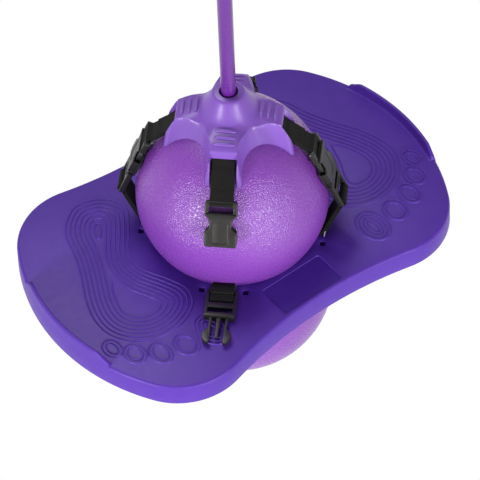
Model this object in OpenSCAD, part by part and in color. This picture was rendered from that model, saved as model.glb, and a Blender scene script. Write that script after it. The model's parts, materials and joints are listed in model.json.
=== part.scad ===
// Balance dome trainer: a waisted ball in a footboard, a strapped cap and an elastic pull tube.
// Origin: centre of the ball's contact patch on the floor. +Z up, +X along the board, toes to -Y.

/* [Ball] */
// Radius of the upper lobe
upper_lobe_r = 106; // [104:0.5:107]
// Radius of the lower lobe
lower_lobe_r = 110; // [109:0.5:111]
// Height of the upper lobe's centre above the floor
upper_lobe_z = 251; // [250:0.5:252]
// Height of the lower lobe's centre above the floor
lower_lobe_z = 106.5; // [106:0.5:107]
// Thickness of the ball's wall
ball_wall = 2.6; // [2:0.2:4]
// Radius of the neck between the lobes
neck_r = 86.5; // [85:0.5:86.5]

/* [Board] */
// Height of the deck's top above the floor
deck_z = 198; // [197.5:0.5:198.5]
// Depth of the skirt from the deck's top to its lower edge
skirt_h = 27; // [24:1:28]
// Thickness of the deck plate
deck_t = 4; // [3.5:0.5:5]
// Thickness of the skirt wall
skirt_t = 3; // [2.5:0.5:4]
// Half the board's length
board_half_l = 242.5; // [241:0.5:245]
// Half the board's width at the waist
board_waist = 143.3; // [142:0.5:145]
// Distance from the long axis to a corner circle's centre
corner_y = 81.5; // [80:0.5:83]
// Distance from the short axis to a corner circle's centre
corner_x = 140.5; // [139:0.5:142]
// Radius of the four corners
corner_r = 79; // [77:0.5:80]
// Height of the foot stop at each end
stop_h = 12.5; // [8:0.5:15]
// Thickness of the foot stop
stop_t = 6; // [4:0.5:8]
// Half the length of the foot stop, across the board
stop_half_l = 75; // [60:1:80]

/* [Cap] */
// Height of the cap's top above the floor
cap_top_z = 408; // [406:0.5:410]
// Radius of the hole that the tube comes through
cap_hole_r = 10.2; // [9.5:0.1:11]
// Radius of the cap's arms at their tips
cap_tip_r = 72; // [70:0.5:76]
// Distance from the axis to the deepest point of the gap between two arms
cap_gap_r = 42; // [41:0.5:44]
// Wall thickness of the cap
cap_wall = 3.5; // [3:0.5:4.5]

/* [Straps and buckles] */
// Width of the webbing
web_w = 25; // [24:0.5:25]
// Thickness of one layer of webbing
web_t = 1.6; // [1.2:0.1:1.6]
// Width of a buckle
buckle_w = 34.5; // [34:0.5:36]
// Angle of the closed buckles from upright
closed_tilt = 22; // [20:1:24]
// Angle of the open female half from upright
hang_tilt = 30; // [28:1:32]

/* [Pull tube and handle] */
// Outer radius of the pull tube
tube_r = 8; // [7.5:0.1:8]
// Radius of the tube's bore
tube_bore_r = 4; // [3:0.1:4.5]
// Height of the handle bar above the floor
bar_z = 660; // [655:1:700]
// Length of the handle bar
bar_l = 212; // [190:1:230]
// Outer radius of the foam grips
grip_r = 16; // [14.5:0.5:18]

/* [Hidden] */
$fn = 96;
gap = 0.3;
board_z = deck_z - skirt_h;

// Board outline: three tangent arcs in each quadrant, worked out from the corner circle.
end_k = board_half_l - corner_x;
end_r = (end_k * end_k + corner_y * corner_y - corner_r * corner_r) / (2 * (end_k - corner_r));
end_x = board_half_l - end_r;
waist_k = board_waist - corner_y;
waist_r = (corner_x * corner_x + waist_k * waist_k - corner_r * corner_r) / (2 * (corner_r - waist_k));
waist_y = board_waist + waist_r;
end_a = atan2(corner_y, corner_x - end_x);
waist_a = atan2(waist_y - corner_y, corner_x);
edge_round = 1.3;
stop_edge = 2;
stop_ramp = 8;

// Hole for the ball and the strap slots around it
board_hole_r = neck_r + 0.5;
collar_t = 5;
slot_r = 97;
slot_w = 28;
slot_l = 9.4;
deck_bar_r = 1.9;
deck_bar_z = deck_z - 2.1;
peg_hole = 6;
peg_hole_r = 100.2;
peg_hole_t = 23.75;
rib_t = 2.4;
rib_gap = 7;
RIB_X = [130, 175, 215];
RIB_Y = [-118, -48, 0, 48, 118];
PANEL = [[-39.7, -138.5], [79.4, 41]];
panel_drop = 0.6;

// Footprint: heel, ball of the foot and arch as tangent circles
heel_c = [-120, 90];
heel_r = 40;
sole_c = [-151, -26.5];
sole_r = 52;
arch_r = 30;
contour_w = 2;
contour_h = 0.8;
foot_span = norm(sole_c - heel_c);
foot_dir = (sole_c - heel_c) / foot_span;
foot_a = atan2(foot_dir[1], foot_dir[0]);
arch_u = (pow(heel_r + arch_r, 2) - pow(sole_r + arch_r, 2) + foot_span * foot_span) / (2 * foot_span);
arch_v = sqrt(pow(heel_r + arch_r, 2) - arch_u * arch_u);
arch_c = heel_c + arch_u * foot_dir + arch_v * [-foot_dir[1], foot_dir[0]];
side_a = foot_a - 90 - asin((sole_r - heel_r) / foot_span);
TOES = [[-210.8, -56.4, 10.5], [-196, -77.6, 12], [-174.5, -94.1, 12.5], [-146.4, -102, 14], [-113, -104, 18]];

// Cap: seat on the ball, cone, arms
ball_top_z = upper_lobe_z + upper_lobe_r;
seat_r = upper_lobe_r + gap;
tip_a = 28;
gap_c = (cap_tip_r * cap_tip_r - cap_gap_r * cap_gap_r) / (2 * (cap_tip_r * cos(tip_a) - cap_gap_r));
gap_r = gap_c - cap_gap_r;
mouth_half = 0.93 * gap_r;
arm_w = 28.8;
arm_wall = 2.6;
shoulder_r = 57;
hollow_r = shoulder_r + 3;
boss_r = 27;
pocket_r = 15.5;
pocket_z = ball_top_z + 5.2;
pocket_top_z = cap_top_z - 16;
plate_r = 25;
plate_t = 3;
screw_circle_r = 20.5;
CAP_TOP = [[0, 0], [14.5, 0], [17, -1], [18.2, -3], [28.5, -21.5], [30.5, -23.7], [34, -24.6],
           [50, -29], [57, -33], [66, -52], [cap_tip_r, -64.5], [cap_tip_r + 3, -100], [0, -100]];
RIB_AT = [[34.5, -24.9], [42, -26.9], [49.5, -29]];
cap_bar = [53, ball_top_z + 2];
cap_bar_r = 2;
arm_rib_r = 1.2;
arm_rib_l = 22;

// Buckles: local y runs from the female half's bar at the top to the male half's bar
fem_bar_y = -47.5;
male_bar_y = 36;
buckle_bar_r = 2.2;
frame_t = 6;
fem_l = 50;
fem_body_l = 38;
fem_body_t = 10;
channel_w = 26.6;
channel_l = 36;
channel_t = 6.4;
male_block_t = 9;
prong_t = 5;
label_w = 13;
SIDE_WINDOW = [[11.6, -28.4], [11.6, -21.5], [17.4, -16.5], [30, -16.5], [30, -36.5], [17.4, -36.5]];
PRONG = [[7.5, -0.4], [11, -0.4], [11, -15], [13.2, -20.7], [15.8, -23], [15.8, -26], [13.2, -30.5],
         [10.5, -34.5], [7, -34.5], [7, -20]];
buckle_lift = upper_lobe_r + 6.5;
STRAP_AT = [225, 315, 45, 135];
function place(tilt, mid) = [buckle_lift * cos(tilt) - mid * sin(tilt),
                             upper_lobe_z + buckle_lift * sin(tilt) + mid * cos(tilt)];
function along(o, tilt, y) = [o[0] + y * sin(tilt), o[1] - y * cos(tilt)];
closed_o = place(closed_tilt, -6);
hang_o = place(hang_tilt, -25);
flat_tilt = -90;
flat_o = [143, deck_z + 6];
deck_bar = [slot_r, deck_bar_z];

// Pull tube and handle
tube_z0 = pocket_z + 6;
tube_z1 = bar_z - 19;
hub_z0 = bar_z - 48;
bar_r = 11;

// Valve in the rear of the upper lobe
valve_r = 4.2;
valve_flange_r = 8;

board_purple = [0.33, 0.22, 0.60];
ball_purple = [0.58, 0.34, 0.72];
cap_lilac = [0.54, 0.41, 0.79];
tube_violet = [0.47, 0.24, 0.65];
web_black = [0.10, 0.10, 0.09];
buckle_black = [0.16, 0.16, 0.15];

// Points on an arc from angle a0 to a1, without the last one
function arc(c, r, a0, a1, n) = [for (i = [0:n - 1]) let (a = a0 + (a1 - a0) * i / n) c + r * [cos(a), sin(a)]];

// One quadrant of the board's edge, grown outwards by g
function edge_quadrant(g) = concat(
    arc([end_x, 0], end_r + g, 0, end_a, 6),
    arc([corner_x, corner_y], corner_r + g, end_a, 180 - waist_a, 12),
    arc([0, waist_y], waist_r - g, -waist_a, -90, 6));
function flip(p, sx, sy) = [for (q = p) [sx * q[0], sy * q[1]]];
function back(p) = [for (i = [len(p) - 1:-1:1]) p[i]];

module board_outline(g = 0) {
    q = edge_quadrant(g);
    waist = [[0, board_waist + g]];
    tip = [[board_half_l + g, 0]];
    polygon(concat(q, waist, flip(back(q), -1, 1), flip(tip, -1, 1),
                   flip(concat([for (i = [1:len(q) - 1]) q[i]], waist), -1, -1), flip(back(q), 1, -1)));
}

function foot_edge(i) = concat(
    arc(heel_c, heel_r - i, side_a, side_a - 360 + angle_gap(heel_c), 18),
    arc(arch_c, arch_r + i, atan2(heel_c[1] - arch_c[1], heel_c[0] - arch_c[0]),
        360 + atan2(sole_c[1] - arch_c[1], sole_c[0] - arch_c[0]), 6),
    arc(sole_c, sole_r - i, atan2(arch_c[1] - sole_c[1], arch_c[0] - sole_c[0]), side_a, 20),
    [sole_c + (sole_r - i) * [cos(side_a), sin(side_a)]]);
// Turn from the outer side of a circle to the arch circle, against the clock
function angle_gap(c) = let (d = atan2(arch_c[1] - c[1], arch_c[0] - c[0]) - side_a) d < 0 ? d + 360 : d;

module footprint() {
    linear_extrude(contour_h + 0.5)
        difference() {
            polygon(foot_edge(0));
            polygon(foot_edge(contour_w));
        }
    for (t = TOES)
        translate([t[0], t[1], 0])
            difference() {
                cylinder(r = t[2], h = contour_h + 0.5);
                translate([0, 0, -1]) cylinder(r = t[2] - contour_w, h = 3);
            }
}

// Raised stop along one end of the deck
module foot_stop() {
    intersection() {
        translate([0, 0, deck_z - 1])
            linear_extrude(stop_h + 1)
                difference() {
                    board_outline(-stop_edge);
                    board_outline(-stop_edge - stop_t);
                }
        translate([180, 0, deck_z - 2])
            rotate([90, 0, 90])
                linear_extrude(100)
                    polygon([[-stop_half_l, 0], [-stop_half_l + stop_ramp, stop_h + 3],
                             [stop_half_l - stop_ramp, stop_h + 3], [stop_half_l, 0]]);
    }
}

module strap_ring(a, r, t) {
    rotate([0, 0, a]) translate([r, t, 0]) children();
}

module board() {
    color(board_purple)
        difference() {
            union() {
                translate([0, 0, deck_z - deck_t]) linear_extrude(deck_t - edge_round) board_outline(-0.4);
                translate([0, 0, deck_z - edge_round - 0.2])
                    linear_extrude(edge_round + 0.2) board_outline(-edge_round);
                translate([0, 0, board_z])
                    linear_extrude(skirt_h - edge_round)
                        difference() {
                            board_outline(0);
                            board_outline(-skirt_t);
                        }
                translate([0, 0, board_z]) cylinder(r = board_hole_r + collar_t, h = skirt_h - 1);
                translate([0, 0, board_z + rib_gap])
                    linear_extrude(skirt_h - deck_t - rib_gap + 1)
                        intersection() {
                            board_outline(-1);
                            difference() {
                                union() {
                                    for (x = RIB_X, s = [-1, 1])
                                        translate([s * x, 0]) square([rib_t, 340], center = true);
                                    for (y = RIB_Y)
                                        translate([0, y]) square([490, rib_t], center = true);
                                }
                                circle(r = board_hole_r + 2);
                            }
                        }
                foot_stop();
                mirror([1, 0, 0]) foot_stop();
                translate([0, 0, deck_z - 0.5]) {
                    footprint();
                    mirror([1, 0, 0]) footprint();
                }
            }
            translate([0, 0, board_z - 1]) cylinder(r = board_hole_r, h = skirt_h + 4);
            translate([PANEL[0][0], PANEL[0][1], deck_z - panel_drop]) cube([PANEL[1][0], PANEL[1][1], 3]);
            for (a = STRAP_AT) {
                strap_ring(a, slot_r, 0)
                    translate([-slot_l / 2, -slot_w / 2, deck_z - 30]) cube([slot_l, slot_w, 40]);
                for (s = [-1, 1])
                    strap_ring(a, peg_hole_r, s * peg_hole_t)
                        translate([-peg_hole / 2, -peg_hole / 2, deck_z - 30]) cube([peg_hole, peg_hole, 40]);
            }
        }
    color(board_purple)
        for (a = STRAP_AT)
            strap_ring(a, slot_r, 0)
                translate([0, 0, deck_bar_z])
                    rotate([90, 0, 0]) cylinder(r = deck_bar_r, h = slot_w + 1, center = true);
}

module lobes(inset) {
    intersection() {
        translate([0, 0, upper_lobe_z]) sphere(r = upper_lobe_r - inset);
        translate([0, 0, deck_z + gap + inset]) cylinder(r = 150, h = 200);
    }
    translate([0, 0, board_z - 20]) cylinder(r = neck_r - inset, h = skirt_h + 40);
    intersection() {
        translate([0, 0, lower_lobe_z]) sphere(r = lower_lobe_r - inset);
        translate([0, 0, inset]) cylinder(r = 150, h = board_z - gap - 2 * inset);
    }
}

module valve_axis() {
    translate([0, upper_lobe_r, upper_lobe_z]) rotate([-90, 0, 0]) children();
}

module ball() {
    color(ball_purple)
        difference() {
            lobes(0);
            lobes(ball_wall);
            valve_axis() translate([0, 0, -12]) cylinder(r = valve_r, h = 20);
        }
}

module valve_plug() {
    color("white")
        valve_axis() {
            translate([0, 0, 0.3]) cylinder(r = valve_flange_r, h = 1.6);
            translate([0, 0, -9]) cylinder(r = valve_r - 0.3, h = 10);
        }
}

module cap_plan(inset) {
    difference() {
        circle(r = cap_tip_r - inset);
        for (a = [0:90:270]) rotate(a) translate([gap_c, 0]) circle(r = gap_r + inset);
        for (a = [0:90:270])
            rotate(a) translate([gap_c, -mouth_half - inset]) square([80, 2 * (mouth_half + inset)]);
    }
}

module cap_dome(drop) {
    rotate_extrude() polygon([for (p = CAP_TOP) [p[0], cap_top_z + p[1] - (p[1] > -100 ? drop : 0)]]);
}

module cap_solid() {
    intersection() {
        translate([0, 0, ball_top_z - 60]) linear_extrude(140) cap_plan(0);
        cap_dome(0);
    }
}

module cap_hollow() {
    difference() {
        intersection() {
            translate([0, 0, ball_top_z - 70]) linear_extrude(140) cap_plan(cap_wall);
            cap_dome(cap_wall + 1);
            translate([0, 0, ball_top_z - 70]) cylinder(r = hollow_r, h = 140);
        }
        translate([0, 0, ball_top_z - 80]) cylinder(r = boss_r, h = 160);
        for (a = STRAP_AT, s = [-1, 1])
            strap_ring(a, 20, s > 0 ? arm_w / 2 : -arm_w / 2 - arm_wall)
                translate([0, 0, ball_top_z - 70]) cube([50, arm_wall, 150]);
    }
}

module cap() {
    color(cap_lilac)
        difference() {
            union() {
                difference() {
                    cap_solid();
                    cap_hollow();
                    for (a = STRAP_AT)
                        strap_ring(a, shoulder_r, -arm_w / 2)
                            translate([0, 0, ball_top_z - 70]) cube([40, arm_w, 140]);
                }
                for (a = STRAP_AT) {
                    for (p = RIB_AT)
                        strap_ring(a, p[0], 0)
                            translate([0, 0, cap_top_z + p[1]])
                                rotate([90, 0, 0]) cylinder(r = arm_rib_r, h = arm_rib_l, center = true);
                    strap_ring(a, cap_bar[0], 0)
                        translate([0, 0, cap_bar[1]])
                            rotate([90, 0, 0]) cylinder(r = cap_bar_r, h = arm_w + 2, center = true);
                }
            }
            translate([0, 0, upper_lobe_z]) sphere(r = seat_r);
            translate([0, 0, cap_top_z - 40]) cylinder(r = cap_hole_r, h = 60);
            translate([0, 0, ball_top_z - 10]) cylinder(r = pocket_r, h = pocket_top_z - ball_top_z + 10);
            translate([0, 0, ball_top_z - 10]) cylinder(r = plate_r + gap, h = pocket_z - ball_top_z + 10);
            for (a = [0:90:270])
                rotate([0, 0, a]) translate([screw_circle_r, 0, pocket_z - 1]) cylinder(r = 1.55, h = 12);
        }
}

module tube_base_plug() {
    color(buckle_black) {
        translate([0, 0, tube_z0 - 4]) cylinder(r = 12, h = 4);
        translate([0, 0, tube_z0 - 1]) cylinder(r = tube_bore_r - 0.05, h = 24);
    }
}

module tube_collar() {
    color(buckle_black)
        difference() {
            translate([0, 0, pocket_top_z - 15]) cylinder(r = 14.5, h = 14.8);
            translate([0, 0, pocket_top_z - 16]) cylinder(r = tube_r + 0.05, h = 18);
        }
}

module retainer_plate() {
    color("silver")
        difference() {
            translate([0, 0, pocket_z - plate_t - 0.1]) cylinder(r = plate_r, h = plate_t);
            for (a = [0:90:270])
                rotate([0, 0, a]) translate([screw_circle_r, 0, pocket_z - 10]) cylinder(r = 1.7, h = 20);
        }
}

module retainer_screws() {
    color("gray")
        for (a = [0:90:270])
            rotate([0, 0, a]) translate([screw_circle_r, 0, pocket_z - plate_t - 2]) {
                cylinder(r = 3, h = 1.85);
                cylinder(r = 1.5, h = 14);
            }
}

module pull_tube() {
    color(tube_violet)
        translate([0, 0, tube_z0])
            difference() {
                cylinder(r = tube_r, h = tube_z1 - tube_z0);
                translate([0, 0, -1]) cylinder(r = tube_bore_r, h = tube_z1 - tube_z0 + 2);
            }
}

module tube_top_plug() {
    color(buckle_black)
        difference() {
            union() {
                translate([0, 0, tube_z1]) cylinder(r = tube_r, h = 3.8);
                translate([0, 0, tube_z1 - 40]) cylinder(r = tube_bore_r - 0.05, h = 42);
            }
            translate([0, 0, tube_z1 - 24]) cylinder(r = 2.05, h = 40);
        }
}

module handle_hub() {
    color(buckle_black)
        difference() {
            union() {
                translate([0, 0, hub_z0]) cylinder(r1 = 12, r2 = 14, h = 38);
                translate([0, 0, bar_z]) rotate([0, 90, 0]) cylinder(r = 17, h = 50, center = true);
            }
            translate([0, 0, hub_z0 - 1]) cylinder(r = tube_r + 0.1, h = tube_z1 + 4 - hub_z0 + 1);
            translate([0, 0, bar_z]) rotate([0, 90, 0]) cylinder(r = bar_r + 0.05, h = 60, center = true);
            translate([0, 0, bar_z - 30]) cylinder(r = 2.6, h = 60);
            translate([0, 0, bar_z + 13]) cylinder(r = 5.4, h = 10);
        }
}

module handle_bar() {
    color("silver")
        difference() {
            translate([0, 0, bar_z]) rotate([0, 90, 0]) cylinder(r = bar_r, h = bar_l, center = true);
            translate([0, 0, bar_z]) rotate([0, 90, 0]) cylinder(r = bar_r - 2, h = bar_l + 2, center = true);
            translate([0, 0, bar_z - 20]) cylinder(r = 2.6, h = 40);
        }
}

module handle_screw() {
    color("gray") {
        translate([0, 0, bar_z + 13.1]) cylinder(r = 5, h = 3);
        translate([0, 0, tube_z1 - 18]) cylinder(r = 2, h = bar_z + 14 - tube_z1 + 18);
    }
}

module grip(side) {
    color(buckle_black)
        translate([side * 25.5, 0, bar_z])
            rotate([0, side * 90, 0])
                difference() {
                    cylinder(r = grip_r, h = bar_l / 2 - 25.8);
                    translate([0, 0, -1]) cylinder(r = bar_r + 0.05, h = bar_l);
                }
}

module end_cap(side) {
    color(cap_lilac)
        translate([side * (bar_l / 2 + 0.1), 0, bar_z])
            rotate([0, side * 90, 0]) {
                cylinder(r = grip_r - 1, h = 5);
                translate([0, 0, -14]) cylinder(r = bar_r - 2.05, h = 15);
            }
}

module left_grip() { grip(1); }
module right_grip() { grip(-1); }
module left_end_cap() { end_cap(1); }
module right_end_cap() { end_cap(-1); }

// A buckle's own frame: x across, y down the strap, z away from the ball
module at_buckle(side, o, tilt) {
    rotate([0, 0, STRAP_AT[side]])
        translate([o[0], 0, o[1]])
            rotate([0, -tilt, 0])
                multmatrix([[0, 0, 1, 0], [-1, 0, 0, 0], [0, -1, 0, 0], [0, 0, 0, 1]]) children();
}

// Two layers of webbing sewn together, with a loop round a bar at each end
module strap(side, p, p_bar_r, q, q_bar_r) {
    u = (q - p) / norm(q - p);
    n = [-u[1], u[0]] * web_t;
    color(web_black)
        rotate([0, 0, STRAP_AT[side]])
            rotate([90, 0, 0])
                translate([0, 0, -web_w / 2])
                    difference() {
                        union() {
                            translate(p) cylinder(r = p_bar_r + gap + web_t, h = web_w);
                            translate(q) cylinder(r = q_bar_r + gap + web_t, h = web_w);
                            linear_extrude(web_w) polygon([p + n, q + n, q - n, p - n]);
                        }
                        translate([p[0], p[1], -1]) cylinder(r = p_bar_r + gap, h = web_w + 2);
                        translate([q[0], q[1], -1]) cylinder(r = q_bar_r + gap, h = web_w + 2);
                    }
}

module female_half(side, o, tilt) {
    hw = buckle_w / 2;
    side_w = hw - channel_w / 2 + 0.3;
    color(buckle_black)
        at_buckle(side, o, tilt)
            difference() {
                union() {
                    translate([0, 0, -fem_body_t / 2])
                        linear_extrude(fem_body_t)
                            polygon([[2 - hw, 0], [-hw, -2], [-hw, 3 - fem_body_l], [2 - hw, -fem_body_l],
                                     [hw - 2, -fem_body_l], [hw, 3 - fem_body_l], [hw, -2], [hw - 2, 0]]);
                    for (m = [0, 1])
                        mirror([m, 0, 0])
                            translate([hw - side_w, -fem_l, -frame_t / 2]) cube([side_w, 15, frame_t]);
                    translate([0, fem_bar_y, 0])
                        rotate([0, 90, 0]) cylinder(r = buckle_bar_r, h = buckle_w - 1, center = true);
                }
                translate([-channel_w / 2, -channel_l, -channel_t / 2])
                    cube([channel_w, channel_l + 4, channel_t]);
                for (m = [0, 1])
                    mirror([m, 0, 0]) translate([0, 0, -6]) linear_extrude(12) polygon(SIDE_WINDOW);
                translate([-label_w / 2, -24, fem_body_t / 2 - 0.5]) cube([label_w, 20, 2]);
            }
}

module male_half(side, o, tilt) {
    hw = buckle_w / 2 - 0.5;
    color(buckle_black)
        at_buckle(side, o, tilt) {
            translate([-hw, 0, -male_block_t / 2]) cube([2 * hw, 6, male_block_t]);
            for (m = [0, 1])
                mirror([m, 0, 0]) translate([hw - 3, 5, -frame_t / 2]) cube([3, male_bar_y - 3, frame_t]);
            translate([1 - hw, 13, -2.2]) cube([2 * hw - 2, 6.5, 4.4]);
            translate([0, male_bar_y, 0])
                rotate([0, 90, 0]) cylinder(r = buckle_bar_r, h = 2 * hw - 2, center = true);
            translate([-2.2, -28, -2]) cube([4.4, 30, 4]);
        }
}

module prong(side, o, tilt, s) {
    color(buckle_black)
        at_buckle(side, o, tilt)
            mirror([s < 0 ? 1 : 0, 0, 0])
                translate([0, 0, -prong_t / 2]) linear_extrude(prong_t) polygon(PRONG);
}

module upper_strap(side, o, tilt) {
    strap(side, cap_bar, cap_bar_r, along(o, tilt, fem_bar_y), buckle_bar_r);
}
module lower_strap(side, o, tilt) {
    strap(side, deck_bar, deck_bar_r, along(o, tilt, male_bar_y), buckle_bar_r);
}

board();
ball();
valve_plug();
cap();
tube_base_plug();
tube_collar();
retainer_plate();
retainer_screws();
pull_tube();
tube_top_plug();
handle_hub();
handle_bar();
handle_screw();
left_grip();
right_grip();
left_end_cap();
right_end_cap();
upper_strap(0, hang_o, hang_tilt);  // front_right_upper_strap
female_half(0, hang_o, hang_tilt);  // front_right_female_buckle
lower_strap(0, flat_o, flat_tilt);  // front_right_lower_strap
male_half(0, flat_o, flat_tilt);  // front_right_male_buckle
prong(0, flat_o, flat_tilt, 1);  // front_right_prong_a
prong(0, flat_o, flat_tilt, -1);  // front_right_prong_b
upper_strap(1, closed_o, closed_tilt);  // front_left_upper_strap
female_half(1, closed_o, closed_tilt);  // front_left_female_buckle
lower_strap(1, closed_o, closed_tilt);  // front_left_lower_strap
male_half(1, closed_o, closed_tilt);  // front_left_male_buckle
prong(1, closed_o, closed_tilt, 1);  // front_left_prong_a
prong(1, closed_o, closed_tilt, -1);  // front_left_prong_b
upper_strap(2, closed_o, closed_tilt);  // rear_left_upper_strap
female_half(2, closed_o, closed_tilt);  // rear_left_female_buckle
lower_strap(2, closed_o, closed_tilt);  // rear_left_lower_strap
male_half(2, closed_o, closed_tilt);  // rear_left_male_buckle
prong(2, closed_o, closed_tilt, 1);  // rear_left_prong_a
prong(2, closed_o, closed_tilt, -1);  // rear_left_prong_b
upper_strap(3, closed_o, closed_tilt);  // rear_right_upper_strap
female_half(3, closed_o, closed_tilt);  // rear_right_female_buckle
lower_strap(3, closed_o, closed_tilt);  // rear_right_lower_strap
male_half(3, closed_o, closed_tilt);  // rear_right_male_buckle
prong(3, closed_o, closed_tilt, 1);  // rear_right_prong_a
prong(3, closed_o, closed_tilt, -1);  // rear_right_prong_b
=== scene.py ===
"""Looks of the balance dome trainer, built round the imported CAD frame.

Lengths are in millimetres and angles in degrees; make() turns them into metres.
"""
import json
import math

import bmesh
import bpy
import numpy as np
from mathutils import Matrix, Vector
from mathutils.geometry import delaunay_2d_cdt

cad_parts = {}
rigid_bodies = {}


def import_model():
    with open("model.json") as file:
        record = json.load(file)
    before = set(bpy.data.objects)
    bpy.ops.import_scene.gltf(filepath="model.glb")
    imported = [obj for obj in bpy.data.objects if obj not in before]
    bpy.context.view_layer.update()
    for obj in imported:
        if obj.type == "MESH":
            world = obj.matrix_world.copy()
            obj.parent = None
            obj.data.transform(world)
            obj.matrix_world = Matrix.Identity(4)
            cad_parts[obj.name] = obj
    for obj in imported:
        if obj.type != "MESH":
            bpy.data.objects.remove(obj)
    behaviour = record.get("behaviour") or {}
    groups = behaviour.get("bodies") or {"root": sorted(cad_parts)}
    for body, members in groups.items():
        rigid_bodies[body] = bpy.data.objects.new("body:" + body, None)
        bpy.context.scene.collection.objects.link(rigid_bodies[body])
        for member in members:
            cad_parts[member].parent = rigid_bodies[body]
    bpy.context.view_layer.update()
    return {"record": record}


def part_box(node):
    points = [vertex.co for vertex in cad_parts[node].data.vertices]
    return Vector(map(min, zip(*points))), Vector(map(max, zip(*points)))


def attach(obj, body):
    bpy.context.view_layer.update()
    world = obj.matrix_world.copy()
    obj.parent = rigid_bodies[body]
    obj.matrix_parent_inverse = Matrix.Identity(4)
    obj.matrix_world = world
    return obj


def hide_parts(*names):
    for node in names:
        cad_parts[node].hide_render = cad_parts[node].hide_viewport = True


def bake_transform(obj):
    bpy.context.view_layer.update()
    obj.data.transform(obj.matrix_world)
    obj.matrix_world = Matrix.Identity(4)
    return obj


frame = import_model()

M = 1000.0  # millimetres in a metre

# ---------------------------------------------------------------- sizes


def span(node):
    """Lowest and highest corner of a CAD node, in millimetres."""
    low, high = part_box(node)
    return low * M, high * M


board_lo, board_hi = span("board")
ball_hi = span("ball")[1]
cap_hi = span("cap")[1]
tube_lo, tube_hi = span("pull_tube")
hub_lo, hub_hi = span("handle_hub")
grip_lo, grip_hi = span("left_grip")
end_hi = span("left_end_cap")[1]

stop_h = 12.5
deck_z = board_hi.z - stop_h
skirt_z = board_lo.z
half_l = board_hi.x
deck_t = 4
skirt_t = 3

upper_r, lower_r, neck_r = 106, ball_hi.x, 86.5
upper_z, lower_z = ball_hi.z - upper_r, 106.5
bulge_h, pressed_z = 113, ball_hi.z + 1.6

corner_r, corner_x, corner_y, waist = 79, 140.5, 81.5, 143.3

cap_top = cap_hi.z
hole_r, tip_r, gap_in_r, tip_a = 10.2, 72, 42, 28
arm_half, shoulder_r = 14.4, 57
cap_bar = (53, ball_hi.z + 2)

web_w, web_t = 25, 1.5
strap_lift = upper_r + 6.5
slot_r, slot_l, slot_w = 97, 9.4, 28
peg, peg_r, peg_side = 6, 100.2, 23.75
deck_bar = (slot_r, deck_z - 2.1)
fem_bar, male_bar = -47.5, 36
ARMS = {"front_right": 225, "front_left": 315, "rear_left": 45, "rear_right": 135}


def cosd(a):
    return math.cos(math.radians(a))


def sind(a):
    return math.sin(math.radians(a))


# ---------------------------------------------------------------- camera and tube come first

view_azimuth, view_elevation, view_roll = -36.84, 50.03, -2.34
view_distance, view_lens = 3186.2, 216.6
aim_right, aim_up = 6.55, -21.39


def make_camera():
    back = Vector((sind(view_azimuth) * cosd(view_elevation), -cosd(view_azimuth) * cosd(view_elevation),
                   sind(view_elevation)))
    level = Vector((cosd(view_azimuth), sind(view_azimuth), 0))
    over = back.cross(level)
    right = cosd(view_roll) * level + sind(view_roll) * over
    up = cosd(view_roll) * over - sind(view_roll) * level
    place = Vector((0, 0, deck_z)) + aim_right * right + aim_up * up + view_distance * back
    camera = bpy.data.objects.new("camera", bpy.data.cameras.new("camera"))
    bpy.context.scene.collection.objects.link(camera)
    camera.data.sensor_width = 36
    camera.data.lens = view_lens
    camera.data.clip_start, camera.data.clip_end = 0.1, 50
    turn = Matrix((right, up, back)).transposed().to_4x4()
    camera.matrix_world = Matrix.Translation(place / M) @ turn
    bpy.context.scene.camera = camera


make_camera()

# ---------------------------------------------------------------- materials


def linear(rgb):
    """Linear colour from sRGB values of 0 to 255."""
    return [(c / 255 / 12.92) if c <= 10 else ((c / 255 + 0.055) / 1.055) ** 2.4 for c in rgb]


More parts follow.
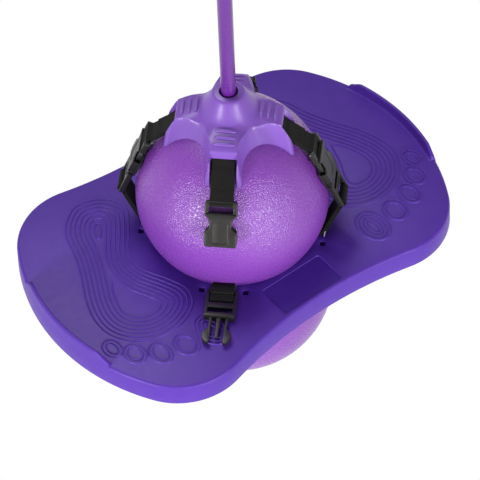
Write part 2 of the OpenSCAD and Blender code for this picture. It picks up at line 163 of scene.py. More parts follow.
class Finish:
    """A Principled material that is built up node by node."""

    def __init__(self, name, rgb, roughness, **values):
        self.material = bpy.data.materials.new(name)
        self.material.use_nodes = True
        self.nodes = self.material.node_tree.nodes
        self.links = self.material.node_tree.links
        self.shader = self.nodes["Principled BSDF"]
        self.rgb = rgb
        self.roughness = roughness
        self.shader.inputs["Base Color"].default_value = (*linear(rgb), 1)
        self.shader.inputs["Roughness"].default_value = roughness
        for key, value in values.items():
            self.shader.inputs[key.replace("_", " ")].default_value = value
        self.place = self.nodes.new("ShaderNodeTexCoord")
        self.height = None

    def texture(self, kind, scale, space="Object", **values):
        node = self.nodes.new("ShaderNodeTex" + kind)
        self.links.new(self.place.outputs[space], node.inputs["Vector"])
        node.inputs["Scale"].default_value = scale
        for key, value in values.items():
            if key in ("feature", "bands_direction", "wave_type"):
                setattr(node, key, value)
            else:
                node.inputs[key.replace("_", " ")].default_value = value
        return node.outputs["Distance" if kind == "Voronoi" else "Fac"]

    def ramp(self, fac, low, high):
        node = self.nodes.new("ShaderNodeMapRange")
        node.interpolation_type = "SMOOTHSTEP"
        self.links.new(fac, node.inputs["Value"])
        node.inputs["From Min"].default_value = low
        node.inputs["From Max"].default_value = high
        return node.outputs["Result"]

    def mottle(self, rgb, fac):
        """Mixes the base colour towards rgb by fac."""
        node = self.nodes.new("ShaderNodeMix")
        node.data_type = "RGBA"
        node.inputs[6].default_value = (*linear(self.rgb), 1)
        node.inputs[7].default_value = (*linear(rgb), 1)
        self.links.new(fac, node.inputs[0])
        self.links.new(node.outputs[2], self.shader.inputs["Base Color"])
        return self

    def gloss_change(self, fac, spread):
        """Roughness that varies by spread round its own value."""
        node = self.nodes.new("ShaderNodeMapRange")
        self.links.new(fac, node.inputs["Value"])
        node.inputs["To Min"].default_value = self.roughness - spread
        node.inputs["To Max"].default_value = self.roughness + spread
        self.links.new(node.outputs["Result"], self.shader.inputs["Roughness"])
        return self

    def bump(self, height, depth, strength=1.0):
        """Adds relief of depth millimetres on top of what is there."""
        node = self.nodes.new("ShaderNodeBump")
        node.inputs["Distance"].default_value = depth / M
        node.inputs["Strength"].default_value = strength
        self.links.new(height, node.inputs["Height"])
        if self.height is not None:
            self.links.new(self.height, node.inputs["Normal"])
        self.height = node.outputs["Normal"]
        self.links.new(self.height, self.shader.inputs["Normal"])
        return self


def board_finish():
    f = Finish("board_plastic", (84, 46, 160), 0.44, Specular_IOR_Level=0.3)
    f.mottle((74, 38, 148), f.texture("Noise", 60, Detail=4, Roughness=0.6))
    f.gloss_change(f.texture("Noise", 160, Detail=3), 0.07)
    f.bump(f.texture("Noise", 900, Detail=5, Roughness=0.65), 0.22, 0.8)
    return f.bump(f.texture("Noise", 14, Detail=2), 0.5, 0.25).material


def panel_finish():
    f = Finish("board_panel", (72, 36, 150), 0.34, Specular_IOR_Level=0.3)
    f.mottle((64, 31, 138), f.texture("Noise", 80, Detail=3))
    return f.bump(f.texture("Noise", 1500, Detail=3), 0.05, 0.5).material


def ball_finish():
    f = Finish("ball_vinyl", (131, 68, 171), 0.28, Specular_IOR_Level=0.6)
    cells = f.texture("Voronoi", 640, feature="F1", Randomness=1.0)
    f.mottle((118, 56, 160), f.texture("Noise", 9, Detail=3))
    f.gloss_change(f.texture("Noise", 300, Detail=2), 0.06)
    f.bump(f.texture("Noise", 1400, Detail=3), 0.12, 0.5)
    return f.bump(f.ramp(cells, 0.05, 0.8), 0.32, 0.9).material


def cap_finish():
    f = Finish("cap_plastic", (124, 82, 179), 0.37, Specular_IOR_Level=0.5)
    f.mottle((114, 72, 169), f.texture("Noise", 25, Detail=3))
    f.gloss_change(f.texture("Noise", 120, Detail=3), 0.05)
    return f.bump(f.texture("Noise", 1400, Detail=3), 0.05, 0.5).material


def tube_finish():
    f = Finish("tube_latex", (98, 30, 138), 0.28, Coat_Weight=0.3, Coat_Roughness=0.2)
    f.mottle((84, 24, 122), f.texture("Noise", 45, Detail=3))
    f.gloss_change(f.texture("Noise", 200, Detail=2), 0.05)
    return f.bump(f.texture("Noise", 260, Detail=3), 0.12, 0.4).material


def web_finish():
    """Ribbed webbing: fine cross ribs and a herringbone, from the strap's own length and width in UV."""
    f = Finish("webbing", (22, 21, 20), 0.8, Specular_IOR_Level=0.22, Sheen_Weight=0.03, Sheen_Roughness=0.5)
    ribs = f.texture("Wave", 0.36, "UV", wave_type="BANDS", bands_direction="Y", Distortion=0.6, Detail=1.0)
    warp = f.texture("Wave", 0.30, "UV", wave_type="BANDS", bands_direction="DIAGONAL", Distortion=0.4)
    f.mottle((9, 9, 8), f.ramp(ribs, 0.2, 0.8))
    f.bump(warp, 0.35, 0.5)
    f.bump(ribs, 0.45, 0.8)
    return f.bump(f.texture("Noise", 2500, Detail=3), 0.12, 0.6).material


def buckle_finish():
    f = Finish("buckle_plastic", (31, 30, 27), 0.38, Specular_IOR_Level=0.42)
    f.mottle((22, 21, 19), f.texture("Noise", 70, Detail=3))
    f.gloss_change(f.texture("Noise", 240, Detail=3), 0.07)
    return f.bump(f.texture("Noise", 1800, Detail=4), 0.08, 0.7).material


def foam_finish():
    f = Finish("grip_foam", (34, 33, 35), 0.92, Sheen_Weight=0.3, Sheen_Roughness=0.6)
    cells = f.texture("Voronoi", 900, feature="F1")
    f.mottle((22, 21, 23), f.ramp(cells, 0.2, 0.7))
    f.bump(f.texture("Noise", 120, Detail=4), 0.5, 0.4)
    return f.bump(cells, 0.5, 0.9).material


def hub_finish():
    f = Finish("hub_plastic", (44, 42, 48), 0.5, Specular_IOR_Level=0.45)
    f.mottle((34, 32, 38), f.texture("Noise", 60, Detail=3))
    return f.bump(f.texture("Noise", 1300, Detail=4), 0.12, 0.7).material


def valve_finish():
    f = Finish("valve_vinyl", (226, 220, 222), 0.45, Subsurface_Weight=0.1)
    f.mottle((208, 200, 206), f.texture("Noise", 120, Detail=3))
    return f.bump(f.texture("Noise", 900, Detail=3), 0.06, 0.5).material


def nylon_finish():
    f = Finish("plug_nylon", (48, 45, 48), 0.55)
    f.mottle((38, 36, 38), f.texture("Noise", 90, Detail=3))
    return f.bump(f.texture("Noise", 1200, Detail=3), 0.08, 0.6).material


def metal_finish(name, rgb, dark, roughness):
    f = Finish(name, rgb, roughness, Metallic=1.0)
    f.mottle(dark, f.texture("Noise", 60, Detail=5))
    f.gloss_change(f.texture("Noise", 400, Detail=4), 0.08)
    return f.bump(f.texture("Noise", 2200, Detail=3), 0.03, 0.5).material


FINISHES = {"board_plastic": board_finish(), "board_panel": panel_finish(), "ball_vinyl": ball_finish(),
            "cap_plastic": cap_finish(), "tube_latex": tube_finish(), "webbing": web_finish(),
            "buckle_plastic": buckle_finish(), "grip_foam": foam_finish(), "hub_plastic": hub_finish(),
            "valve_vinyl": valve_finish(), "plug_nylon": nylon_finish(),
            "zinc_steel": metal_finish("zinc_steel", (186, 188, 190), (150, 152, 156), 0.32),
            "bar_aluminium": metal_finish("bar_aluminium", (205, 207, 210), (180, 182, 186), 0.28)}

# ---------------------------------------------------------------- mesh tools


class Shape:
    """Points, faces and texture coordinates of a mesh that is still being put together, in millimetres."""

    def __init__(self):
        self.points, self.faces, self.uv = [], [], []

    def add(self, points, faces, place=None, uv=None):
        first = len(self.points)
        points = [Vector(p) for p in points]
        self.points += [place @ p for p in points] if place else points
        self.faces += [[first + i for i in f] for f in faces]
        self.uv += list(uv) if uv is not None else [(0, 0)] * len(points)
        return self


def grid_faces(rows, columns, closed=True):
    """Quads between rows of points; closed joins each row's last point to its first."""
    faces = []
    for i in range(rows - 1):
        for j in range(columns if closed else columns - 1):
            k = (j + 1) % columns
            faces.append([i * columns + j, i * columns + k, (i + 1) * columns + k, (i + 1) * columns + j])
    return faces


def loft(shape, rings, place=None, ends=True, uv=None):
    """Joins rings of equally many points, and closes the first and the last ring."""
    n = len(rings[0])
    faces = grid_faces(len(rings), n)
    if ends:
        last = (len(rings) - 1) * n
        faces += [list(range(n))[::-1], [last + i for i in range(n)]]
    return shape.add([p for ring in rings for p in ring], faces, place, uv)


def turned(shape, profile, place=None, sides=64, ends=True):
    """A profile of (radius, height) points turned about Z."""
    rings = [[(r * cosd(a), r * sind(a), z) for a in np.arange(sides) * 360 / sides] for r, z in profile]
    return loft(shape, rings, place, ends)


def make(name, shape, finish, body, replaces=(), sharp=38, weld=0.004):
    """A Blender object from a shape: riding on a body, in a finish."""
    mesh = bpy.data.meshes.new(name)
    mesh.from_pydata([p / M for p in shape.points], [], shape.faces)
    layer = mesh.uv_layers.new(name="UVMap")
    index = np.zeros(len(mesh.loops), int)
    mesh.loops.foreach_get("vertex_index", index)
    layer.data.foreach_set("uv", np.array(shape.uv, float)[index].ravel())
    bm = bmesh.new()
    bm.from_mesh(mesh)
    bmesh.ops.remove_doubles(bm, verts=bm.verts, dist=weld / M)
    bmesh.ops.recalc_face_normals(bm, faces=bm.faces)
    bm.to_mesh(mesh)
    bm.free()
    mesh.polygons.foreach_set("use_smooth", [True] * len(mesh.polygons))
    mesh.set_sharp_from_angle(angle=math.radians(sharp))
    mesh.materials.append(FINISHES[finish])
    piece = bpy.data.objects.new(name, mesh)
    bpy.context.scene.collection.objects.link(piece)
    if body:
        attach(piece, body)
    if replaces:
        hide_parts(*replaces)
    return piece


def arc(cx, cy, r, a0, a1, n, last=False):
    """Points on an arc, without the last one unless asked."""
    return [(cx + r * cosd(a), cy + r * sind(a)) for a in np.linspace(a0, a1, n + 1)[:n + last]]


def circle(r, n, cx=0, cy=0):
    return arc(cx, cy, r, 0, 360, n)


def fillet(points, radii, steps=5):
    """A closed outline with its corners rounded; radii is one radius or one for each point."""
    out, n = [], len(points)
    for i, p in enumerate(points):
        r = radii if isinstance(radii, (int, float)) else radii[i]
        p, a, b = Vector(p), Vector(points[i - 1]), Vector(points[(i + 1) % n])
        u, v = (a - p).normalized(), (b - p).normalized()
        half = u.angle(v) / 2
        if r <= 0 or half > math.radians(88):
            out.append(tuple(p))
            continue
        run = min(r / math.tan(half), 0.49 * (a - p).length, 0.49 * (b - p).length)
        for t in np.linspace(0, 1, steps + 1):
            out.append(tuple((1 - t) ** 2 * (p + u * run) + 2 * t * (1 - t) * p + t * t * (p + v * run)))
    return out


def inset(loop, d):
    """The closed line moved d to its left, with mitred corners."""
    p = np.array(loop, float)
    e = np.roll(p, -1, 0) - p
    e /= np.maximum(np.linalg.norm(e, axis=1), 1e-9)[:, None]
    n = np.stack([-e[:, 1], e[:, 0]], 1)
    m = n + np.roll(n, 1, 0)
    m /= np.maximum((1 + (n * np.roll(n, 1, 0)).sum(1)), 0.4)[:, None]
    return [tuple(q) for q in p + d * m]


def wound(loop, way):
    """The loop, turned round if it doesn't run against the clock (way 1) or with it (way -1)."""
    p = np.array(loop, float)
    area = (p[:, 0] * np.roll(p[:, 1], -1) - p[:, 1] * np.roll(p[:, 0], -1)).sum()
    return list(loop) if area * way > 0 else list(loop)[::-1]


def inside(points, loops):
    """True for each point that an odd number of the loops holds."""
    q = np.array(points, float)
    odd = np.zeros(len(q), bool)
    for loop in loops:
        a = np.array(loop, float)
        b = np.roll(a, -1, 0)
        for (ax, ay), (bx, by) in zip(a, b):
            if ay != by:
                crosses = (q[:, 1] < ay) != (q[:, 1] < by)
                odd ^= crosses & (q[:, 0] < ax + (q[:, 1] - ay) / (by - ay) * (bx - ax))
    return odd


def fill(loops):
    """Triangles between closed loops: (points, triangles)."""
    points, edges = [], []
    for loop in loops:
        first = len(points)
        points += [Vector(p[:2]) for p in loop]
        edges += [(first + i, first + (i + 1) % len(loop)) for i in range(len(loop))]
    points, _, faces = delaunay_2d_cdt(points, edges, [], 0, 1e-4)[:3]
    flat = np.array([p[:] for p in points], float)
    tri = np.array([f for f in faces], int)
    keep = inside(flat[tri].mean(1), loops)
    return flat, tri[keep]


def slab(shape, loops, z0, z1, round_, place=None):
    """A plate from z0 to z1 with rounded edges. The first loop is its edge, the others are its holes."""
    loops = [wound(loops[0], 1)] + [wound(h, -1) for h in loops[1:]]
    steps = [(round_ * (1 - math.sin(a)), round_ * (1 - math.cos(a))) for a in np.radians([0, 30, 60, 90])]
    levels = [(d, z0 + up) for d, up in steps] + [(d, z1 - up) for d, up in steps[::-1]]
    for loop in loops:
        rings = [[(*p, z) for p in inset(loop, d)] for d, z in levels]
        loft(shape, rings, place, ends=False)
    flat, tri = fill([inset(loop, round_) for loop in loops])
    for z, way in ((z0, -1), (z1, 1)):
        shape.add([(x, y, z) for x, y in flat], [list(t)[::way] for t in tri], place)
    return shape


def block(shape, low, high, round_, place=None):
    """A box with rounded edges, with its corners at low and high."""
    (x0, y0, z0), (x1, y1, z1) = low, high
    return slab(shape, [fillet([(x0, y0), (x1, y0), (x1, y1), (x0, y1)], round_, 3)], z0, z1, round_, place)


def rod(shape, start, end, r, place=None, sides=20, round_=0.4):
    """A round bar with softened ends between two points."""
    start, end = Vector(start), Vector(end)
    turn = Matrix.Translation(start) @ (end - start).to_track_quat("Z", "Y").to_matrix().to_4x4()
    long = (end - start).length
    profile = [(r - round_, 0), (r, round_), (r, long - round_), (r - round_, long)]
    return turned(shape, profile, (place or Matrix()) @ turn, sides)


def level_loops(field, x, y, level):
    """Closed lines where a gridded field crosses a level, by marching squares."""
    joined, above = {}, field > level

    def cross(i, j, di, dj):
        a, b = field[i, j], field[i + di, j + dj]
        t = (level - a) / (b - a)
        return x[i] + t * di * (x[1] - x[0]), y[j] + t * dj * (y[1] - y[0])

    low, high = above[:-1, :-1], above[1:, 1:]
    mixed = (low != above[1:, :-1]) | (above[:-1, 1:] != high) | (low != above[:-1, 1:])
    for i, j in zip(*np.nonzero(mixed)):
        edges = [e for e in ((i, j, 1, 0), (i + 1, j, 0, 1), (i, j + 1, 1, 0), (i, j, 0, 1))
                 if above[e[0], e[1]] != above[e[0] + e[2], e[1] + e[3]]]
        for a, b in zip(edges[::2], edges[1::2]):
            joined.setdefault(a, []).append(b)
            joined.setdefault(b, []).append(a)
    loops = []
    while joined:
        start = here = next(iter(joined))
        loop, before = [], None
        while here in joined:
            loop.append(cross(*here))
            ways = joined.pop(here)
            here, before = (ways[0] if ways[0] != before else ways[-1]), here
            if here == start:
                break
        loops.append(loop)
    return loops


def even(loop, step, smooth=0):
    """The closed line with points about step apart, smoothed so many times."""
    p = np.array(loop, float)
    q = np.vstack([p, p[:1]])
    at = np.concatenate([[0], np.cumsum(np.linalg.norm(np.diff(q, axis=0), axis=1))])
    n = max(8, round(at[-1] / step))
    where = np.arange(n) * at[-1] / n
    p = np.stack([np.interp(where, at, q[:, k]) for k in (0, 1)], 1)
    for _ in range(smooth):
        p = (np.roll(p, 1, 0) + 2 * p + np.roll(p, -1, 0)) / 4
    return p


def spline(points, per=6):
    """A smooth closed line through a few points."""
    p = np.array(points, float)
    out = []
    for i in range(len(p)):
        a, b, c, d = (p[(i + k) % len(p)] for k in (-1, 0, 1, 2))
        for t in np.arange(per) / per:
            out.append(0.5 * (2 * b + (c - a) * t + (2 * a - 5 * b + 4 * c - d) * t * t
                              + (3 * b - a - 3 * c + d) * t ** 3))
    return np.array(out)


def smooth_min(a, b, k):
    h = np.maximum(k - np.abs(a - b), 0) / k
    return np.minimum(a, b) - h * h * k / 4


def ease(v, low, high):
    """0 below low, 1 above high, and a smooth step between."""
    t = np.clip((v - low) / (high - low), 0, 1)
    return t * t * (3 - 2 * t)


def bezier(points, per=8):
    """A smooth open line through a few (x, y) points."""
    p = [points[0]] + list(points) + [points[-1]]
    p = np.array(p, float)
    out = []
    for a, b, c, d in zip(p, p[1:], p[2:], p[3:]):
        for t in np.arange(per) / per:
            out.append(0.5 * (2 * b + (c - a) * t + (2 * a - 5 * b + 4 * c - d) * t * t
                              + (3 * b - a - 3 * c + d) * t ** 3))
    return out + [p[-1]]


def cut(piece, shape):
    """Takes a closed shape out of a piece."""
    knife = make("knife", shape, "plug_nylon", None)
    cutter = piece.modifiers.new("cut", "BOOLEAN")
    cutter.operation, cutter.solver, cutter.object = "DIFFERENCE", "EXACT", knife
    bpy.context.view_layer.update()
    piece.data = bpy.data.meshes.new_from_object(piece.evaluated_get(bpy.context.evaluated_depsgraph_get()))
    piece.modifiers.clear()
    bpy.data.objects.remove(knife)
    return piece


# ---------------------------------------------------------------- pull tube

tube_r = (tube_hi.x - tube_lo.x) / 2
tube_bore = 5.5


def make_tube():
    """The elastic tube, a cord that runs taut from the cap to the handle."""
    rows = np.linspace(tube_lo.z, tube_hi.z, 70)
    outer = [(tube_r - 0.5, rows[0])] + [(tube_r, z) for z in rows[1:-1]] + [(tube_r - 0.5, rows[-1])]
    profile = outer + [(tube_bore, z) for z in rows[::-1]] + outer[:1]
    tube = make("tube", turned(Shape(), profile, sides=40, ends=False), "tube_latex", None,
                replaces=["pull_tube"])
    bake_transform(tube)


make_tube()

# ---------------------------------------------------------------- board

end_k = half_l - corner_x
end_r = (end_k ** 2 + corner_y ** 2 - corner_r ** 2) / (2 * (end_k - corner_r))
end_x = half_l - end_r
waist_k = waist - corner_y
waist_r = (corner_x ** 2 + waist_k ** 2 - corner_r ** 2) / (2 * (corner_r - waist_k))
waist_y = waist + waist_r
end_a = math.degrees(math.atan2(corner_y, corner_x - end_x))
waist_a = math.degrees(math.atan2(waist_y - corner_y, corner_x))
board_hole = 87
collar_t = 5
panel_x, panel_y0, panel_y1 = 39.7, -138.5, -97.5
panel_drop = 0.6


def edge(g):
    """The board's outline, grown outwards by g."""
    quarter = (arc(end_x, 0, end_r + g, 0, end_a, 24)
               + arc(corner_x, corner_y, corner_r + g, end_a, 180 - waist_a, 40)
               + arc(0, waist_y, waist_r - g, -waist_a, -90, 40, last=True))
    half = quarter[:-1] + [(-x, y) for x, y in quarter[:0:-1]]
    return half + [(-x, -y) for x, y in half]


def turned_square(a, r, t, w, h, round_):
    """A rounded rectangle, w along the radius and h across it, on the arm at angle a."""
    corners = [(-w / 2, -h / 2), (w / 2, -h / 2), (w / 2, h / 2), (-w / 2, h / 2)]
    return [((r + x) * cosd(a) - (t + y) * sind(a), (r + x) * sind(a) + (t + y) * cosd(a))
            for x, y in fillet(corners, round_, 4)]


def make_board():
    top, under = deck_z, deck_z - deck_t
    shape = Shape()
    rows = [(-skirt_t - 1.4, under), (-skirt_t - 0.8, skirt_z + 1), (-skirt_t + 0.2, skirt_z), (-0.7, skirt_z),
            (-0.2, skirt_z + 0.3), (0, skirt_z + 1), (-0.25, skirt_z + 10), (-0.6, top - 4.5), (-0.9, top - 3),
            (-1.4, top - 1.7), (-2.2, top - 0.8), (-3.1, top - 0.25), (-4.2, top)]
    loft(shape, [[(*p, z) for p in edge(g)] for g, z in rows], ends=False)
    soft = 0.8
    hole = wound(circle(board_hole, 128), -1)
    small = []
    for a in ARMS.values():
        small.append(turned_square(a, slot_r, 0, slot_l, slot_w, 1.2))
        small += [turned_square(a, peg_r, s * peg_side, peg, peg, 0.8) for s in (-1, 1)]
    small = [wound(h, -1) for h in small]
    for h, depth in [(hole, skirt_z)] + [(h, under) for h in small]:
        lips = [(soft, top), (soft * 0.3, top - soft * 0.3), (0, top - soft), (0, depth)]
        loft(shape, [[(*p, z) for p in inset(h, d)] for d, z in lips], ends=False)
    panel = fillet([(-panel_x, panel_y0), (panel_x, panel_y0), (panel_x, panel_y1), (-panel_x, panel_y1)], 2.5)
    panel = wound(panel, -1)
    loft(shape, [[(*p, z) for p in inset(panel, d)] for d, z in ((0.35, top), (0, top - panel_drop))], ends=False)
    loops = [edge(-4.2)] + [inset(h, soft) for h in [hole] + small] + [inset(panel, 0.35)]
    flat, tri = fill(loops)
    shape.add([(x, y, top) for x, y in flat], tri.tolist())
    collar = circle(board_hole + collar_t, 128)
    flat, tri = fill([edge(-skirt_t - 1.4), collar] + small)
    shape.add([(x, y, under) for x, y in flat], tri[:, ::-1].tolist())
    turned(shape, [(board_hole + collar_t, under), (board_hole + collar_t, skirt_z + 0.6),
                   (board_hole + collar_t - 0.6, skirt_z), (board_hole, skirt_z)], sides=128, ends=False)
    make("board", shape, "board_plastic", "trainer", replaces=["board"])
    shape = Shape()
    flat, tri = fill([panel])
    shape.add([(x, y, top - panel_drop) for x, y in flat], tri.tolist())
    make("board_panel", shape, "board_panel", "trainer")


def make_board_ribs():
    """Stiffening ribs under the deck, cut off where they meet the skirt or the collar."""
    shape = Shape()
    bottom, top, t = skirt_z + 7, deck_z - deck_t + 0.3, 1.2
    rim = [edge(-skirt_t + 0.5)]
    ring = board_hole + collar_t - 0.5
    lines = [((x, -160), (x, 160)) for x in (-215, -175, -130, 130, 175, 215)]
    lines += [((-250, y), (250, y)) for y in (-118, -48, 0, 48, 118)]
    for a, b in lines:
        steps = np.linspace(0, 1, 1200)
        path = np.array(a) + steps[:, None] * (np.array(b) - np.array(a))
        good = inside(path, rim) & (np.linalg.norm(path, axis=1) > ring)
        turns = np.flatnonzero(np.diff(np.concatenate([[0], good.astype(int), [0]])))
        for first, last in zip(turns[::2], turns[1::2] - 1):
            (x0, y0), (x1, y1) = path[first], path[last]
            grow = (t, 0) if x0 == x1 else (0, t)
            block(shape, (x0 - grow[0], y0 - grow[1], bottom), (x1 + grow[0], y1 + grow[1], top), 0.4)
    make("board_ribs", shape, "board_plastic", "trainer")


def make_foot_stop(name, side):
    """Raised stop along one end of the deck, running out at its two ends."""
    half_length = 75
    reach = math.degrees(math.asin(half_length / end_r))
    profile = [(-0.55, -4.0), (-0.9, -1.0), (-1.3, 7.0), (-1.7, 10.4), (-2.4, 11.9), (-3.4, stop_h), (-4.6, 12.3),
               (-5.6, 11.3), (-6.1, 9.6), (-6.7, 2.0), (-7.2, 0.9), (-8.2, 0.1), (-9.4, -0.4)]
    rings = []
    for a in np.linspace(-reach, reach, 90):
        gone = end_r * math.radians(reach - abs(a))
        rise = float(0.02 + 0.35 * ease(gone, 0, 3) + 0.63 * ease(gone, 1, 19))
        rings.append([((end_x + (end_r + g) * cosd(a)) * side, (end_r + g) * sind(a),
                       deck_z + z * (rise if z > 0 else 1))
                      for g, z in profile])
    make(name, loft(Shape(), rings), "board_plastic", "trainer", sharp=50)


RIGHT_FOOT = [(-118, 130), (-90, 116), (-80, 92), (-98, 63), (-119, 35), (-121, 12), (-107, -18), (-99, -45),
              (-112, -68), (-145, -79), (-180, -69), (-200, -45), (-203, -18), (-194, 12), (-177, 45),
              (-164, 75), (-157, 100), (-142, 119)]
TOES = [(-210.8, -56.4, 9.5, 13, 2), (-196.3, -77.6, 11.5, 14.5, 2), (-174.5, -94.1, 11.5, 15.5, 2),
        (-146.4, -102.3, 13, 16, 2), (-113, -104, 17, 23, 4)]
RIDGE = [(-1.5, -0.3), (-1.1, 0.1), (-0.75, 0.85), (-0.3, 1.25), (0.3, 1.25), (0.75, 0.85), (1.1, 0.1),
         (1.5, -0.3)]
ridge_step = 5.0
toe_step = 4.5
sole_rings, heel_rings = 7, 8
heel_from = 50


def foot_lines():
    """The nested contour lines of the right foot and its toes."""
    outline = spline(RIGHT_FOOT)
    x, y = np.arange(-212, -70, 1.0), np.arange(-90, 140, 1.0)
    grid = np.stack(np.meshgrid(x, y, indexing="ij"), -1).reshape(-1, 2)
    a, b = outline, np.roll(outline, -1, 0)
    along = np.clip(((grid[:, None] - a) * (b - a)).sum(-1) / ((b - a) ** 2).sum(-1), 0, 1)
    gap = np.linalg.norm(grid[:, None] - a - along[..., None] * (b - a), axis=-1).min(1)
    depth = np.where(inside(grid, [outline]), gap, -gap).reshape(len(x), len(y))
    for _ in range(3):
        depth[1:-1, 1:-1] = (depth[:-2, 1:-1] + depth[2:, 1:-1] + depth[1:-1, :-2] + depth[1:-1, 2:]
                             + 2 * depth[1:-1, 1:-1]) / 6
    lines = []
    for i in range(heel_rings):
        for loop in level_loops(depth, x, y, 0.3 + ridge_step * i):
            line = even(loop, 1.6, 14 + 9 * i)
            long = np.linalg.norm(np.roll(line, 1, 0) - line, axis=1).sum()
            if long > 25 and (i < sole_rings or line[:, 1].mean() > heel_from):
                lines.append(line)
    for cx, cy, rx, ry, rings in TOES:
        for i in range(rings):
            lines.append([(cx + (rx - toe_step * i) * cosd(a), cy + (ry - toe_step * i) * sind(a))
                          for a in np.arange(0, 360, 6)])
    return lines


def make_footprint(name, side, lines):
    shape = Shape()
    for line in lines:
        line = wound([(x * side, y) for x, y in line], 1)
        rings = [[(*p, deck_z + z) for p in inset(line, u)] for u, z in RIDGE]
        loft(shape, rings + rings[:1], ends=False)
    make(name, shape, "board_plastic", "trainer", sharp=70)


def make_peg_sockets():
    """Blind sockets under the square peg holes."""
    shape = Shape()
    under, wall, deep = deck_z - deck_t, 1.2, 8
    for a in ARMS.values():
        for s in (-1, 1):
            outer, hole = (turned_square(a, peg_r, s * peg_side, w, w, 0.8) for w in (peg + 2 * wall, peg + 0.1))
            slab(shape, [outer, hole], under - deep, under + 0.3, 0.2)
            slab(shape, [outer], under - deep - wall, under - deep + 0.1, 0.2)
    make("peg_sockets", shape, "board_plastic", "trainer")


make_board()
make_board_ribs()
make_peg_sockets()
make_foot_stop("left_foot_stop", 1)
make_foot_stop("right_foot_stop", -1)
right_lines = foot_lines()
make_footprint("right_footprint", 1, right_lines)
make_footprint("left_footprint", -1, right_lines)

deck_bars = Shape()
for arm in ARMS.values():
    middle = Vector((deck_bar[0] * cosd(arm), deck_bar[0] * sind(arm), deck_bar[1]))
    across = Vector((-sind(arm), cosd(arm), 0))
    rod(deck_bars, middle - across * (slot_w / 2 + 0.6), middle + across * (slot_w / 2 + 0.6), 1.9)
make("deck_bars", deck_bars, "board_plastic", "trainer")

# ---------------------------------------------------------------- ball and valve

valve_r, flange_r = 4.2, 8


def ball_height(r):
    """Height of the upper lobe at radius r. It bulges up round the cap, which presses its top flat."""
    rise = np.sqrt(np.maximum(1 - (r / upper_r) ** 2, 0))
    lobe_h = upper_r + (bulge_h - upper_r) * ease(rise, 0.35, 0.8)
    return smooth_min(upper_z + lobe_h * rise, pressed_z + 0 * r, 5)


def make_ball():
    """Two lobes and the waist between them, softly joined."""
    profile = [(0.5, 0), (26, 0)]
    low = math.degrees(math.asin(-(lower_z - 0.5) / lower_r))
    profile += [(lower_r * cosd(a), lower_z + lower_r * sind(a)) for a in np.linspace(low, 28, 60)]
    heights = np.arange(profile[-1][1] + 1.2, upper_z + upper_r * sind(-26), 1.2)
    lobe = np.sqrt(np.maximum(lower_r ** 2 - (heights - lower_z) ** 2, 0))
    lobe = np.maximum(lobe, np.sqrt(np.maximum(upper_r ** 2 - (heights - upper_z) ** 2, 0)))
    profile += list(zip(-smooth_min(-lobe, -neck_r, 1.6), heights))
    profile += [(upper_r * cosd(a), upper_z + upper_r * sind(a)) for a in np.linspace(-25.5, 0, 18)]
    profile += [(r, float(ball_height(r))) for r in upper_r * np.cos(np.radians(np.linspace(1.4, 89.7, 80)))]
    make("ball", turned(Shape(), profile, sides=192), "ball_vinyl", "trainer", replaces=["ball"])


def make_valve():
    turn = Matrix.Translation((0, upper_r, upper_z)) @ Matrix.Rotation(math.radians(-90), 4, "X")
    profile = [(valve_r - 0.3, -8), (valve_r - 0.2, -0.6), (flange_r - 0.9, -0.6), (flange_r - 0.2, 0.2),
               (flange_r - 0.3, 1.0), (flange_r - 1.2, 1.6), (3.6, 1.85), (2.7, 1.75), (2.3, 1.1), (0.4, 0.9)]
    shape = turned(Shape(), profile, turn, 48)
    make("valve", shape, "valve_vinyl", "valve_plug", replaces=["valve_plug"])


make_ball()
make_valve()

# ---------------------------------------------------------------- cap

seat_gap = 0.3
gap_x = (tip_r ** 2 - gap_in_r ** 2) / (2 * (tip_r * cosd(tip_a) - gap_in_r))
gap_r = gap_x - gap_in_r
pocket = [(10.2, 392), (15.5, 392), (15.5, 362.5), (25.3, 362.5)]
cavity_s, cavity_top = 46, 364.5
DOME = np.array([(0, 0), (14.5, 0), (17, -1), (18.2, -3), (28.5, -21.5), (30.5, -23.7), (34, -24.6), (50, -29),
                 (57, -33), (66, -52), (tip_r, -64.5), (90, -103)])
leg_fall = 1.4


def cap_fields(x, y):
    """At points of the cap's plan: depth in from the edge, place along and across the nearest arm, top."""
    far, near = np.maximum(abs(x), abs(y)), np.minimum(abs(x), abs(y))
    rho = np.hypot(x, y)
    phi = np.degrees(np.arctan2(near, far))
    s, t = (far + near) / math.sqrt(2), (far - near) / math.sqrt(2)
    to_gap, to_tip = np.hypot(far - gap_x, near) - gap_r, tip_r - rho
    d = smooth_min(to_gap, to_tip, 5)
    w = ease(rho, 24, 40) * (1 - ease(45 - phi, 15, 30))
    reach = rho * (1 - w) + s * w
    soft = 1.2 + 1.2 * ease(rho, 22, 27) * (1 - ease(rho, 37, 45))
    dome = np.mean([np.interp(reach + soft * k, DOME[:, 0], DOME[:, 1]) for k in np.linspace(-1, 1, 9)], 0)
    dome = dome + cap_top - 5 * np.exp(-(phi / 18) ** 2) * ease(rho, 28, 38)
    dome = dome - leg_fall * np.maximum(t - arm_half - 0.8, 0) * ease(s, shoulder_r - 5, shoulder_r + 4)
    tip_share = np.clip(to_gap / np.maximum(to_gap + to_tip, 1e-6), 0, 1)
    slope = (3.4 + 3.6 * ease(phi, 5, 25)) * (1 - tip_share) + 4.2 * tip_share
    side = ball_height(rho) + seat_gap + 0.8 + slope * d
    gap_soft = 2.2 + 4 * np.exp(-(phi / 12) ** 2)
    top = smooth_min(dome, side, gap_soft)
    beside = np.hypot(np.maximum(t - arm_half, 0), np.maximum(shoulder_r - s, 0))
    lip = 0.9
    top = top - lip + np.sqrt(np.maximum(lip ** 2 - np.maximum(lip - beside, 0) ** 2, 0))
    return d, s, t, top


